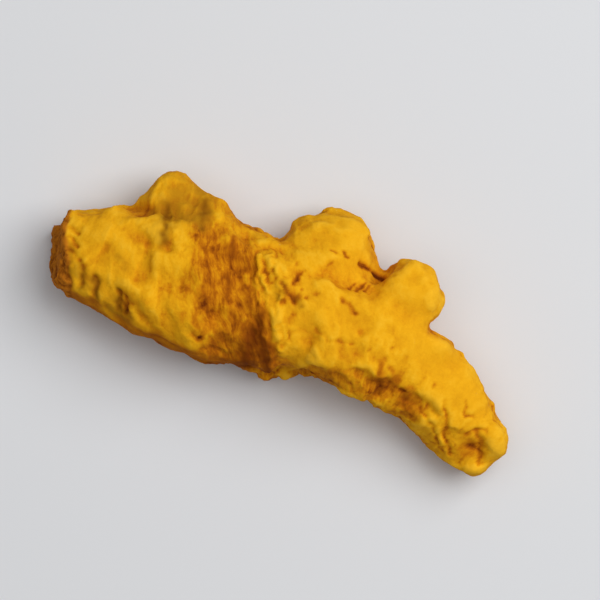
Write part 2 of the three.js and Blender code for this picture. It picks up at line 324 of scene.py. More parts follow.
class Noise(Draws):
    """Smooth noise from about -1 to 1"""

    LEVEL = 1.6
    CREST_STEEPNESS = 2.2
    CREST_POWER = 1.5
    APART = 57.0

    def __init__(self, seed):
        super().__init__(seed)
        slopes = self.draw.normal(size=(self.LENGTH, 3))
        self.slopes = slopes / np.linalg.norm(slopes, axis=1, keepdims=True)

    def __call__(self, places, scale):
        """Noise with lumps as long as scale, which is one number or one for each axis"""
        cell, inside = lattice_corners(places / np.asarray(scale, float))
        ease = inside**3 * (inside * (inside * 6 - 15) + 10)
        total = np.zeros(len(places))
        for corner in itertools.product((0, 1), repeat=3):
            share = np.prod(np.where(corner, ease, 1 - ease), axis=1)
            slopes = self.slopes[self.row(cell + corner)]
            total += share * np.einsum("ij,ij->i", slopes, inside - corner)
        return self.LEVEL * total

    def crests(self, places, scale):
        """Thin crests from 0 to 1, as long and as far apart as scale"""
        return np.clip(1 - self.CREST_STEEPNESS * np.abs(self(places, scale)), 0, 1) ** self.CREST_POWER

    def shift(self, places, scale):
        """A push whose direction and length vary from place to place"""
        return np.stack([self(places + axis * self.APART, scale) for axis in range(3)], axis=1)


class Flakes(Draws):
    """Space split into irregular flakes, each with its own level and tilt"""

    TILT = 0.9

    def __init__(self, seed):
        super().__init__(seed)
        self.middles = self.draw.uniform(0, 1, (self.LENGTH, 3))
        self.levels = self.draw.uniform(-1, 1, self.LENGTH)
        self.tilts = self.TILT * self.draw.normal(size=(self.LENGTH, 3))

    def __call__(self, places, scale):
        """The height of the flake at each place, and how far the flake's edge is, as a share of scale"""
        cell, inside = lattice_corners(places / np.asarray(scale, float))
        nearest = np.full(len(places), np.inf)
        second = nearest.copy()
        height = np.zeros(len(places))
        for step in itertools.product((-1, 0, 1), repeat=3):
            row = self.row(cell + step)
            offset = inside - step - self.middles[row]
            away = np.linalg.norm(offset, axis=1)
            closer = away < nearest
            second = np.where(closer, nearest, np.minimum(second, away))
            level = self.levels[row] + np.einsum("ij,ij->i", self.tilts[row], offset)
            height = np.where(closer, level, height)
            nearest = np.minimum(nearest, away)
        return height, second - nearest


def rise(values, low, high):
    """0 below low and 1 above high, with a smooth step between"""
    share = np.clip((values - low) / (high - low), 0, 1)
    return share * share * (3 - 2 * share)


def band(values, low, high, soft):
    """1 between low and high, fading to 0 over soft outside them"""
    return rise(values, low - soft, low) * (1 - rise(values, high, high + soft))


def at_least(least, share):
    """A share of 0 to 1 squeezed to run from least to 1"""
    return least + (1 - least) * share


def lessened(share, loss):
    """1 where the share is 0, and less by the loss where it is 1"""
    return 1 - loss * share


def bump(distance, width):
    """1 at no distance, falling to 0 over about twice the width"""
    return np.exp(-((distance / width) ** 2))


def distance_to_line(points, line):
    """How far each point is from a line through a few places"""
    least = np.full(len(points), np.inf)
    for start, end in zip(line[:-1], line[1:]):
        run = end - start
        share = np.clip((points - start) @ run / (run @ run), 0, 1)
        least = np.minimum(least, np.linalg.norm(points - start - share[:, None] * run, axis=1))
    return least


class Skin:
    """The root's fine mesh, with its points in millimetres and its normals as arrays"""

    def __init__(self, mesh):
        self.mesh = mesh
        self.edges = self.read(mesh.edges, "vertices", 2, np.int32)
        self.points = self.read(mesh.vertices, "co", 3, np.float32).astype(float) / MM
        self.write_points()

    @staticmethod
    def read(items, name, width, kind):
        values = np.empty(len(items) * width, kind)
        items.foreach_get(name, values)
        return values.reshape(-1, width)

    def write_points(self):
        self.mesh.vertices.foreach_set("co", (self.points * MM).astype(np.float32).ravel())
        self.mesh.update()
        self.normals = self.read(self.mesh.vertices, "normal", 3, np.float32).astype(float)

    def swell(self, height):
        """Moves each point out along its normal"""
        self.points += self.normals * height[:, None]
        self.write_points()

    def noise(self, seed, length, reach=1.0):
        """Smooth noise whose lumps are as long as length and about reach high"""
        return reach * Noise(seed)(self.points, length)

    def grains(self, layers):
        """Noise of several sizes in one"""
        return sum(share * Noise(seed)(self.points, length) for seed, length, share in layers)

    def push(self, seed, length, reach):
        """A push of up to about reach whose direction and length vary from place to place"""
        return reach * Noise(seed).shift(self.points, length)

    def ragged(self, seed, length, reach):
        """The points pushed about, so that what is measured from them has ragged edges"""
        return self.points + self.push(seed, length, reach)

    def evened(self, values, rounds):
        """Values spread over neighbouring points, round after round"""
        count = len(self.points)
        first, second = self.edges.T
        ties = np.bincount(first, minlength=count) + np.bincount(second, minlength=count)
        columns = []
        for column in values.T:
            for _ in range(rounds):
                total = np.bincount(first, column[second], count) + np.bincount(second, column[first], count)
                column = 0.5 * column + 0.5 * total / ties
            columns.append(column)
        return np.stack(columns, axis=1)

    def lowness(self, rounds):
        """How far each point lies below the skin evened out around it"""
        return np.einsum("ij,ij->i", self.evened(self.points, rounds) - self.points, self.normals)

    def on_top(self, x, y):
        """The point of the upper face that is seen at a place from above"""
        away = np.hypot(self.points[:, 0] - x, self.points[:, 1] - y)
        return self.points[np.where(self.normals[:, 2] > 0, away, np.inf).argmin()]

    def line_on_top(self, places):
        """A line that follows the upper face through a few places"""
        places = np.array(places, float)
        lengths = np.linalg.norm(np.diff(places, axis=0), axis=1)
        passed = np.concatenate([[0.0], np.cumsum(lengths)])
        stops = np.linspace(0.0, passed[-1], 2 + int(passed[-1] / LINE_STEP))
        columns = [np.interp(stops, passed, column) for column in places.T]
        return np.array([self.on_top(x, y) for x, y in zip(*columns)])

    def mark(self, name, values):
        """Keeps numbers on the mesh, where the material reads them"""
        attribute = self.mesh.attributes.new(name, "FLOAT", "POINT")
        attribute.data.foreach_set("value", np.asarray(values, np.float32))

    def mark_places(self, name, places):
        """Keeps places on the mesh, where the material reads them"""
        attribute = self.mesh.attributes.new(name, "FLOAT_VECTOR", "POINT")
        attribute.data.foreach_set("vector", np.asarray(places, np.float32).ravel())


# The skin's relief


def along_rings(points):
    """Points whose X is the same all the way round a growth ring"""
    xs, leans = zip(*RING_LEAN)
    placed = points.copy()
    placed[:, 0] -= np.interp(points[:, 0], xs, leans) * (points[:, 1] - RING_AXIS_Y)
    return placed


def fine_copy(node, cell):
    """A copy of a solid as an even, smooth mesh of small faces"""
    piece = bpy.data.objects.new("turmeric_rhizome_skin", node.data.copy())
    bpy.context.scene.collection.objects.link(piece)
    remesh = piece.modifiers.new("even cells", "REMESH")
    remesh.mode = "VOXEL"
    remesh.voxel_size = cell
    smooth = piece.modifiers.new("smooth facets", "SMOOTH")
    smooth.factor = 0.5
    smooth.iterations = 5
    piece.modifiers.new("fine faces", "SUBSURF").levels = 1
    graph = bpy.context.evaluated_depsgraph_get()
    mesh = bpy.data.meshes.new_from_object(piece.evaluated_get(graph), depsgraph=graph)
    piece.modifiers.clear()
    piece.data = mesh
    mesh.name = piece.name
    mesh.materials.clear()
    mesh.shade_smooth()
    return piece


def waist_of(skin):
    """The flaky waist between the two segments, by place along the rings, thinner on the +Y side"""
    place = along_rings(skin.points)[:, 0]
    start = place + skin.noise(seed=1, length=4.0, reach=2.2) + skin.noise(seed=2, length=1.4, reach=0.8)
    end = place + skin.noise(seed=3, length=2.0, reach=0.8)
    top = skin.points[:, 1] + skin.noise(seed=14, length=1.8, reach=0.9)
    between = rise(start, low=-16.2, high=-12.2) * (1 - rise(end, low=-4.2, high=-2.6))
    return between * lessened(rise(top, low=2.4, high=4.4), loss=0.75)


def worn_of(skin):
    """Where the skin is rubbed smooth: the finger's flank, the bud and the tops of the other lobes"""
    x, y, _ = skin.points.T
    worn = band(x, low=15, high=26, soft=3) * rise(y + FINGER_FLANK_LEAN * x, low=5.4, high=8.2)
    for middle_x, middle_y, radius, share in WORN_SPOTS.values():
        worn = worn + share * bump(np.hypot(x - middle_x, y - middle_y), radius)
    return rise(skin.normals[:, 2], low=-0.1, high=0.5) * np.clip(worn, 0, 1)


def shoulder_and_edge_shade_of(skin):
    """Where painted shade darkens the skin: the shoulder and the stub's lower edge"""
    x, y, _ = skin.points.T
    facing_up = rise(skin.normals[:, 2], low=-0.3, high=0.5)
    above = rise(y + skin.noise(seed=4, length=3.0, reach=1.2), low=1.0, high=4.0)
    shoulder = facing_up * band(x, low=-21.5, high=-15.5, soft=2.0) * above
    ragged = skin.ragged(seed=5, length=1.8, reach=0.9)
    edge = bump(distance_to_line(ragged, skin.line_on_top(STUB_EDGE)), STUB_EDGE_WIDTH)
    return np.clip(shoulder + edge, 0, 1)


def soft_marks(skin, lines):
    """Marks along lines of the upper face that have soft, ragged edges and no relief"""
    ragged = skin.ragged(seed=8, length=1.5, reach=0.6)
    marks = np.zeros(len(skin.points))
    for line, width, darkness in lines.values():
        marks = np.maximum(marks, darkness * bump(distance_to_line(ragged, skin.line_on_top(line)), width))
    return marks


def flank_shade_of(skin):
    """Painted shade: the darker side below the stub and the finger, and darker patches on the other sides
    and underneath
    """
    facing = skin.evened(skin.normals, rounds=40)
    turn = -facing[:, 2]
    patches = rise(skin.noise(seed=13, length=(6.0, 4.0, 4.0)), low=-0.1, high=0.5)
    patches = SHADE_PATCH_SHARE * patches * rise(turn, low=-0.45, high=0.0)
    ragged_turn = turn + skin.noise(seed=9, length=2.4, reach=0.2)
    main_lobe = (1 - rise(skin.points[:, 0], low=-7.0, high=-1.0)) * rise(ragged_turn, low=-0.85, high=-0.25)
    flank = np.maximum(FLANK_SHADE_SHARE * rise(ragged_turn, low=-0.5, high=0.1), main_lobe)
    front = at_least(0.2, rise(-facing[:, 1], low=0.1, high=0.6))
    return np.maximum(flank * front, patches)


def rub_planes(skin, depth, share):
    """Broad planes that rubbing against other roots has left"""
    height, _ = Flakes(seed=15)(skin.ragged(seed=16, length=5.0, reach=1.6), scale=6.0)
    skin.swell(depth * share * skin.evened(height[:, None], rounds=14)[:, 0])


def fold_skin(skin, height, share):
    """Folds that drying has drawn all over the skin, in two sizes"""
    placed = along_rings(skin.points) + skin.push(seed=21, length=3.4, reach=1.1)
    broad = Noise(seed=22).crests(placed, scale=(3.2, 5.0, 5.0))
    fine = Noise(seed=23).crests(placed, scale=(1.4, 2.4, 2.4))
    patches = at_least(0.4, rise(skin.noise(seed=24, length=6.0), low=-0.25, high=0.4))
    skin.swell(height * share * patches * (broad + FINE_FOLD_SHARE * fine - FOLD_LEVEL))


def lift_flakes(skin, height, share):
    """Loose flakes of skin, longer round the root than along it, and a mask of the gaps between"""
    placed = along_rings(skin.points) + skin.push(seed=26, length=1.6, reach=0.6)
    large, large_edge = Flakes(seed=27)(placed, scale=(1.3, 3.8, 3.8))
    small, small_edge = Flakes(seed=28)(placed, scale=(0.7, 2.0, 2.0))
    strokes = Noise(seed=29).crests(placed, scale=(1.1, 3.6, 3.6))
    lifted = skin.evened((large + SMALL_FLAKE_SHARE * small)[:, None], rounds=2)[:, 0]
    skin.swell(height * share * (lifted + FLAKE_STROKE_SHARE * strokes))
    gaps = np.maximum(1 - rise(large_edge, *FLAKE_GAP), SMALL_GAP_LEVEL - rise(small_edge, *FLAKE_GAP))
    return share * np.clip(gaps, 0, 1)


def fold_collar(skin, height):
    """The folds of the second segment's edge, worn away in places, on a step that runs out behind them"""
    place = along_rings(skin.points)[:, 0] + skin.noise(seed=11, length=2.2, reach=1.1)
    kept = at_least(0.1, rise(skin.noise(seed=12, length=2.4), low=-0.2, high=0.35))
    behind = np.maximum(place - COLLAR_STEP[1], 0)
    step = COLLAR_STEP_SHARE * rise(place, *COLLAR_STEP) * np.exp(-behind / COLLAR_RUN_OUT)
    folds = sum(share * bump(place - at, width) for at, width, share in COLLAR_FOLDS)
    heel = at_least(0.2, rise(skin.points[:, 1], low=-9.5, high=-6.5))
    skin.swell(height * heel * (kept * folds + step))


def press_furrows(skin, depth):
    """Long, broken furrows that run with the root, low on its sides and underneath"""
    placed = along_rings(skin.points)
    placed[:, 1:] += skin.noise(seed=31, length=4.0, reach=0.7)[:, None]
    broad = rise(Noise(seed=32)(placed, scale=(9.0, 2.2, 2.2)), low=0.0, high=0.6)
    kept = rise(skin.noise(seed=34, length=4.0), low=-0.1, high=0.4)
    thin = Noise(seed=33).crests(placed, scale=(16.0, 1.8, 1.8)) * kept
    turned = rise(-skin.normals[:, 2], low=-0.5, high=0.3)
    share = turned * (1 - rise(skin.points[:, 1], low=3.0, high=6.0))
    skin.swell(-depth * share * (broad + thin))


def scar_line(away):
    """The section of a leaf-scar line, a low crest with a groove behind it"""
    return bump(away, width=0.42) - SCAR_GROOVE_SHARE * bump(away - SCAR_GROOVE_PLACE, width=0.5)


def raise_scar_lines(skin, height):
    """The thin, broken lines that old leaves left round the root and its branches"""
    place = along_rings(skin.points)[:, 0] + skin.noise(seed=41, length=3.2, reach=0.8)
    kept = rise(skin.noise(seed=42, length=3.6), low=-0.1, high=0.45)
    lines = sum(scar_line(place - line) for line in SCAR_LINES)
    x, y, _ = skin.points.T
    branch_place = y + skin.noise(seed=43, length=3.2, reach=0.8)
    turned = rise(-skin.normals[:, 2], low=-0.7, high=-0.1)
    for middle, half_width, branch_lines in BRANCH_SCAR_LINES:
        branch = turned * (1 - rise(np.abs(x - middle), low=half_width - 1, high=half_width))
        lines += branch * sum(scar_line(branch_place - line) for line in branch_lines)
    skin.swell(height * kept * lines)


def line_up(skin):
    """The creases, ridges and pits of the upper face, and how dark they are"""
    broken_up = np.clip(LINE_LEVEL + skin.noise(seed=51, length=1.4, reach=0.5), *LINE_LIMITS)
    ragged = skin.ragged(seed=52, length=1.2, reach=0.3)
    height = np.zeros(len(skin.points))
    dark = np.zeros(len(skin.points))
    for line, width, rise_height in RIDGES.values():
        height += rise_height * broken_up * bump(distance_to_line(ragged, skin.line_on_top(line)), width)
    for line, width, depth, darkness in CREASES.values():
        groove = broken_up * bump(distance_to_line(ragged, skin.line_on_top(line)), width)
        height -= depth * groove
        # The groove's darkness is painted shade
        dark = np.maximum(dark, darkness * groove)
    for x, y, radius, depth, darkness in PITS:
        pit = broken_up * bump(np.linalg.norm(ragged - skin.on_top(x, y), axis=1), radius)
        height -= depth * pit
        # The pit's darkness is painted shade
        dark = np.maximum(dark, darkness * pit)
    skin.swell(height)
    return dark


def slope_strip(skin, depth):
    """The sloping, fibrous flank below the second segment's face, and a mask of it"""
    ragged = skin.ragged(seed=61, length=2.4, reach=1.0)
    distance = distance_to_line(ragged, skin.line_on_top(STRIP))
    mask = np.clip(1 - (distance / STRIP_REACH) ** 2, 0, 1)
    placed = skin.points.copy()
    placed[:, 0] += STRIP_FIBRE_LEAN * placed[:, 1] + skin.noise(seed=62, length=1.5, reach=0.6)
    fibres = Noise(seed=63).crests(placed, scale=(1.0, 3.4, 3.4))
    skin.swell(depth * mask * (STRIP_FIBRE_SHARE * fibres - 1))
    return rise(mask, low=0.05, high=0.4)


def past_plane(points, plane_point, normal):
    """How far each point lies past a plane"""
    return (points - plane_point) @ (normal / np.linalg.norm(normal))


def break_end(skin, depth):
    """The rough fracture across the broken end and its lower corner, with masks of it and of its ring"""
    ragged = skin.ragged(seed=70, length=1.4, reach=0.35)
    across = rise(past_plane(ragged, BREAK_POINT, BREAK_NORMAL), low=-0.55, high=-0.15)
    corner = rise(past_plane(ragged, CORNER_POINT, CORNER_NORMAL), low=-0.1, high=0.4)
    mask = np.maximum(across, corner)
    middle = np.average(skin.points, axis=0, weights=mask)
    away = np.linalg.norm((ragged - middle)[:, 1:], axis=1) + skin.noise(seed=74, length=1.6, reach=0.6)
    kept = rise(skin.noise(seed=75, length=1.3), low=-0.6, high=0.3)
    ring = mask * bump(away - CORE_RADIUS, CORE_RING_WIDTH) * kept
    skin.swell(depth * (mask * (skin.grains(BREAK_GRAIN) - BREAK_SINK) - BREAK_SINK * ring))
    return mask, ring


def scatter(skin, seed, count, weight):
    """Places drawn over the skin by how welcome each point is, with the draw to go on with"""
    draw = np.random.default_rng(seed)
    chosen = draw.choice(len(skin.points), count, replace=False, p=weight / weight.sum())
    return skin.points[chosen], draw


def fleck_welcome(skin, worn, waist):
    """How welcome a nick is at each point: in clusters, and seldom on worn skin, the waist and the stub"""
    clusters = FLECKS_BETWEEN_CLUSTERS + rise(skin.noise(seed=81, length=4.5), low=0.0, high=0.6)
    stub = band(skin.points[:, 0], low=-31, high=-16, soft=2)
    return clusters * lessened(worn, loss=0.95) * lessened(waist, loss=0.9) * lessened(stub, loss=0.9)


def peck_flecks(skin, depth, count, weight):
    """Short, thin nicks of all sizes, and a mask of them"""
    places, draw = scatter(skin, seed=85, count=count, weight=weight)
    runs = FLECK_RUN * draw.normal(size=(count, 3))
    sizes = draw.uniform(*FLECK_SIZE_ROOTS, count) ** 2
    ragged = skin.ragged(seed=82, length=0.8, reach=0.35)
    mask = np.zeros(len(skin.points))
    for place, run, size in zip(places, runs, sizes):
        ends = place + np.outer((-0.5, 0.5), size * run)
        width = FLECK_WIDTH + FLECK_WIDENING * size
        mask = np.maximum(mask, at_least(0.35, size) * bump(distance_to_line(ragged, ends), width))
    skin.swell(-depth * mask)
    return mask


def raise_root_scars(skin, height, count):
    """Round scars where side roots dried off, on the flanks and underneath, and a mask of them"""
    turned = rise(-skin.normals[:, 2], low=-0.1, high=0.3)
    weight = turned * band(skin.points[:, 0], low=-27, high=27, soft=3) + LEAST_WEIGHT
    places, draw = scatter(skin, seed=91, count=count, weight=weight)
    ragged = skin.ragged(seed=92, length=1.0, reach=0.3)
    relief = np.zeros(len(skin.points))
    mask = np.zeros(len(skin.points))
    for place, radius in zip(places, draw.uniform(*ROOT_SCAR_RADII, count)):
        away = np.linalg.norm(ragged - place, axis=1)
        relief += bump(away - radius, width=0.35) - ROOT_SCAR_PIT_SHARE * bump(away, ROOT_SCAR_PIT * radius)
        mask = np.maximum(mask, bump(away, ROOT_SCAR_MARK * radius))
    skin.swell(height * relief)
    return mask


def depth_share(skin, rounds, full_depth):
    """How low each point lies against the skin evened out around it, up to 1 at the full depth"""
    return np.clip(skin.lowness(rounds) / full_depth, -1, 1)


def grow_skin(piece, shape):
    """Gives the fine copy its relief, and marks what the material shows"""
    skin = Skin(piece.data)
    floor = skin.points[:, 2].min()
    worn = worn_of(skin)
    waist = waist_of(skin)
    patches = rise(skin.noise(seed=6, length=5.0), low=0.1, high=0.55)
    flaky = np.clip(waist + FLAKES_ALL_OVER * (1 + patches) * (1 - worn), 0, 1)
    rub_planes(skin, shape.plane_depth / MM, lessened(worn, loss=0.85))
    fold_skin(skin, shape.fold_height / MM, lessened(worn, loss=0.75))
    press_furrows(skin, shape.furrow_depth / MM)
    raise_scar_lines(skin, shape.scar_line_height / MM)
    fold_collar(skin, shape.collar_height / MM)
    gaps = lift_flakes(skin, shape.flake_height / MM, flaky)
    torn = slope_strip(skin, shape.strip_depth / MM)
    dark = line_up(skin)
    broken, core_ring = break_end(skin, shape.break_depth / MM)
    scars = raise_root_scars(skin, shape.root_scar_height / MM, shape.root_scar_count)
    welcome = fleck_welcome(skin, worn, waist)
    flecks = peck_flecks(skin, shape.fleck_depth / MM, shape.fleck_count, welcome)
    skin.swell(shape.grain_height / MM * lessened(worn, loss=0.6) * skin.grains(GRAIN))
    skin.points[:, 2] = np.maximum(skin.points[:, 2], floor)
    skin.write_points()
    skin.mark_places("ring_place", along_rings(skin.points) + skin.push(seed=7, length=2.0, reach=0.4))
    marks = {
        # Lowness: painted shade in the hollows and a painted highlight on the crests, partly the skin's own
        # tone
        "low_fine": depth_share(skin, rounds=6, full_depth=0.06),
        "low_broad": depth_share(skin, rounds=110, full_depth=0.3),
        "waist": waist,
        "gaps": gaps,
        # Painted shade in the creases and pits, with the root scars' own dark marks
        "dark": np.maximum(dark, ROOT_SCAR_DARKNESS * scars),
        "torn": torn,
        "broken": broken,
        "core_ring": core_ring,
        "flecks": flecks,
        "worn": worn,
        # Painted shade on the shoulder and the stub's lower edge
        "olive": shoulder_and_edge_shade_of(skin),
        # Painted shade on the lower flank, the sides and underneath
        "flank": flank_shade_of(skin),
        "side": rise(-skin.evened(skin.normals, rounds=20)[:, 2], low=-0.5, high=0.0),
        # Painted shade in the collar's hollows, the shoulder spot and the tip, and darker skin on the waist
        # and the strip
        "stains": soft_marks(skin, STAINS_AND_SHADE),
        # Streaks of painted shade in hollows, notches and pits
        "streaks": soft_marks(skin, STREAKS),
    }
    for name, values in marks.items():
        skin.mark(name, values)


# Materials


def named_socket(sockets, name):
    return next(s for s in sockets if name in (s.identifier, s.name) and s.enabled)


class Wire:
    """A socket of a material's node tree, with maths on it written as Python"""

    def __init__(self, tree, socket=None):
        self.tree = tree
        self.socket = socket

    def node(self, kind, settings=None, sockets=None, output=None):
        """A new node of any kind: its settings first, then the values or wires of its sockets"""
        made = self.tree.nodes.new(kind)
        for name, value in (settings or {}).items():
            if name == "stops":
                set_stops(made.color_ramp, value)
            else:
                setattr(made, name, value)
        for name, value in (sockets or {}).items():
            socket = named_socket(made.inputs, name)
            if isinstance(value, Wire):
                self.tree.links.new(value.socket, socket)
            else:
                socket.default_value = value
        found = named_socket(made.outputs, output) if output else next(iter(made.outputs), None)
        return Wire(self.tree, found)

    def math(self, operation, first, second, clamp=False):
        settings = {"operation": operation, "use_clamp": clamp}
        return self.node("ShaderNodeMath", settings, {"Value": first, "Value_001": second})

    def __add__(self, other):
        return self.math("ADD", self, other)

    def __radd__(self, other):
        return self.math("ADD", other, self)

    def __sub__(self, other):
        return self.math("SUBTRACT", self, other)

    def __rsub__(self, other):
        return self.math("SUBTRACT", other, self)

    def __mul__(self, other):
        return self.math("MULTIPLY", self, other)

    def __rmul__(self, other):
        return self.math("MULTIPLY", other, self)

    def clipped(self):
        return self.math("ADD", self, 0.0, clamp=True)

    def stepped(self, low, high):
        """0 below low and 1 above high, with a smooth step between"""
        sockets = {"Value": self, "From Min": low, "From Max": high}
        return self.node("ShaderNodeMapRange", {"interpolation_type": "SMOOTHSTEP"}, sockets)

    def mixed(self, first, second):
        """First where this is 0, second where it is 1"""
        sockets = {"Factor_Float": self, "A_Color": first, "B_Color": second}
        return self.node("ShaderNodeMix", {"data_type": "RGBA"}, sockets, "Result_Color")


def set_stops(ramp, stops):
    while len(ramp.elements) < len(stops):
        ramp.elements.new(1.0)
    for element, (position, colour) in zip(ramp.elements, stops):
        element.position = position
        element.color = colour


def noise_wire(place, detail, roughness, length=1.0, distortion=0.0):
    """Noise from -0.5 to 0.5 whose largest lumps are as long as length"""
    sockets = {"Vector": place, "Scale": 1 / length, "Detail": detail}
    sockets.update({"Roughness": roughness, "Distortion": distortion})
    return place.node("ShaderNodeTexNoise", {}, sockets, "Fac") - 0.5


def opaque(colour):
    return (*colour, 1.0)


def skin_material(colours):
    """Dusty turmeric skin, from umber in what lies lowest to pale dust on what stands proud: partly the
    skin's own tone, partly painted shade in the hollows and a painted highlight on the crests
    """
    material = bpy.data.materials.new(SKIN_SLOT)
    material.use_nodes = True
    tree = material.node_tree
    tree.nodes.clear()
    start = Wire(tree)
    metres = start.node("ShaderNodeTexCoord", output="Object")
    place = start.node("ShaderNodeVectorMath", {"operation": "SCALE"}, {"Vector": metres, "Scale": 1 / MM})
    ring_place = start.node("ShaderNodeAttribute", {"attribute_name": "ring_place"}, output="Vector")

    def drawn_out(lengths):
        sockets = {"Vector": ring_place, "Vector_001": lengths}
        return start.node("ShaderNodeVectorMath", {"operation": "DIVIDE"}, sockets)

    def marked(name):
        return start.node("ShaderNodeAttribute", {"attribute_name": name}, output="Fac")

    wrinkles = noise_wire(drawn_out(WRINKLE_LENGTHS), detail=4.0, roughness=0.6, distortion=0.3)
    patterns = {
        "blotch": noise_wire(place, length=5.0, detail=3.0, roughness=0.55, distortion=0.6),
        "mottle": noise_wire(place, length=1.7, detail=5.0, roughness=0.62, distortion=0.5),
        "grain": noise_wire(place, length=0.4, detail=4.0, roughness=0.65),
        "dust": noise_wire(place, length=0.15, detail=3.0, roughness=0.7),
        "stripes": noise_wire(drawn_out(STRIPE_LENGTHS), detail=3.0, roughness=0.6),
        "wrinkles": wrinkles * marked("side"),
    }

    def weighed(**shares):
        """Patterns and marks added up, each by its share"""
        wires = [patterns[name] if name in patterns else marked(name) for name in shares]
        return functools.reduce(operator.add, map(operator.mul, wires, shares.values()))

    def pulled(tone, target, **share):
        """The tone, drawn towards another by a share where a mark is"""
        return tone - weighed(**share) * (tone - target)

    uneven = weighed(blotch=0.75, mottle=0.7, stripes=0.5)
    tone = USUAL_TONE + uneven * (1 - weighed(worn=0.6)) + weighed(grain=0.25, worn=0.02)
    # Painted shade and highlight, partly the skin's own tone: darker in hollows and in the gaps between
    # flakes, lighter on crests
    tone = tone - weighed(low_broad=0.13, low_fine=0.1, gaps=0.04)
    tone = pulled(tone, target=0.31, waist=0.65) + marked("waist") * weighed(stripes=0.7, mottle=0.35)
    tone = pulled(tone, target=0.38, torn=0.5) + marked("torn") * weighed(stripes=0.5)
    # Painted shade: the flank mask pulls the tone down on the lower flank, the sides and underneath
    tone = pulled(tone, target=0.27, flank=0.75) + weighed(wrinkles=0.5)
    # Painted shade lowers the tone on the shoulder, the stub's edge, the creases and the pits; the flecks
    # and the root scars' marks are the skin's own; the stain marks pull the tone towards brick, as painted
    # shade in the collar's hollows, the shoulder spot and the tip and as darker skin on the waist and the
    # strip
    tone = pulled(tone - weighed(olive=0.06, dark=0.5, flecks=0.28), target=0.17, stains=0.9)
    stops = [(position, opaque(getattr(colours, name))) for name, position in TONES.items()]
    colour = start.node("ShaderNodeValToRGB", {"stops": stops}, {"Fac": tone}, "Color")

    # Painted shade on the shoulder and the stub's edge mixes in its greenish-brown colour
    shaded = marked("olive") * (SHADE_LEVEL + weighed(mottle=1.2, low_broad=0.4))
    shaded = shaded.stepped(low=0.1, high=0.9) * SHADE_COLOUR_SHARE - weighed(dark=1.0, stains=0.6)
    colour = shaded.mixed(colour, opaque(colours.olive))
    # Streaks of painted shade in hollows, notches and pits
    colour = marked("streaks").mixed(colour, opaque(colours.moss))
    # The fracture is darker in its fine hollows, partly as painted shade
    fracture = weighed(mottle=1.0, grain=1.0, low_fine=0.2, core_ring=0.25).stepped(low=-0.3, high=0.6)
    fracture = fracture.mixed(opaque(colours.core), opaque(colours.brick))
    colour = marked("broken").mixed(colour, fracture)

    relief = weighed(grain=0.6, stripes=0.5, wrinkles=1.6, dust=0.3)
    bump_sockets = {"Strength": 0.7, "Distance": 0.2 * MM, "Height": relief}
    shader_sockets = {
        "Base Color": colour,
        "Roughness": (USUAL_ROUGHNESS + weighed(mottle=0.16, worn=-0.12)).clipped(),
        "Normal": start.node("ShaderNodeBump", {}, bump_sockets, "Normal"),
        "Specular IOR Level": 0.04,
    }
    surface = start.node("ShaderNodeBsdfPrincipled", {}, shader_sockets)
    start.node("ShaderNodeOutputMaterial", {}, {"Surface": surface})
    return material


def floor_material(colour):
    """Plain pale paper"""
    material = bpy.data.materials.new("pale_floor")
    material.use_nodes = True
    shader = material.node_tree.nodes["Principled BSDF"]
    shader.inputs["Base Color"].default_value = opaque(colour)
    shader.inputs["Roughness"].default_value = 0.9
    return material


# Settings


def length_property(name, description, millimetres):
    return bpy.props.FloatProperty(
        name=name, description=description, default=millimetres * MM, unit="LENGTH", precision=5
    )


def colour_property(name, description, colour):
    return bpy.props.FloatVectorProperty(
        name=name, description=description, default=colour, subtype="COLOR", size=3, min=0, max=1
    )


class TurmericShape(bpy.types.PropertyGroup):
    """Sizes of the skin's relief"""

    skin_cell: length_property("Skin cell", "Width of the faces that the skin is smoothed from", 0.47)
    plane_depth: length_property("Planes", "Depth of the broad rubbed planes", 0.42)
    fold_height: length_property("Folds", "Height of the folds all over the skin", 0.17)
    furrow_depth: length_property("Furrows", "Depth of the long furrows", 0.22)
    scar_line_height: length_property("Scar lines", "Height of the leaf-scar lines", 0.1)
    collar_height: length_property("Collar", "Height of the folds of the second segment's edge", 0.3)
    flake_height: length_property("Flakes", "How far the waist's flakes stand up", 0.06)
    strip_depth: length_property("Strip", "Depth of the slope below the second segment's face", 0.6)
    break_depth: length_property("Fracture", "Roughness of the broken end", 0.28)
    root_scar_height: length_property("Root scars", "Height of the root scars' rims", 0.16)
    root_scar_count: bpy.props.IntProperty(
        name="Root scar count", description="How many root scars there are", default=20, min=0
    )
    fleck_depth: length_property("Flecks", "Depth of the small nicks", 0.1)
    fleck_count: bpy.props.IntProperty(
        name="Fleck count", description="How many small nicks there are", default=150, min=0
    )
    grain_height: length_property("Grain", "Height of the fine lumps", 0.07)


class TurmericColours(bpy.types.PropertyGroup):
    """Colours of the skin, as linear values"""

    umber: colour_property("Umber", "What lies lowest", (0.061, 0.0144, 0.0024))
    brick: colour_property("Brick", "The waist's gaps", (0.171, 0.0330, 0.0024))
    rust: colour_property("Rust", "The waist's skin", (0.413, 0.116, 0.0034))
    amber: colour_property("Amber", "Dull patches", (0.610, 0.214, 0.0045))
    gold: colour_property("Gold", "The usual skin", (0.745, 0.327, 0.0062))
    pale: colour_property("Pale", "The brightest skin", (0.845, 0.405, 0.0085))
    # Partly a painted highlight: crests that the tone lifts reach the pale and dust colours
    dust: colour_property("Dust", "Powder on the crests", (0.900, 0.465, 0.018))
    # The next two are colours of painted shade: the shoulder's and the stub edge's, and the streaks'
    olive: colour_property("Olive", "The shoulder's dull skin", (0.40, 0.170, 0.006))
    moss: colour_property("Moss", "The dark streaks of the dull skin", (0.220, 0.074, 0.003))
    core: colour_property("Core", "The broken end", (0.56, 0.18, 0.010))


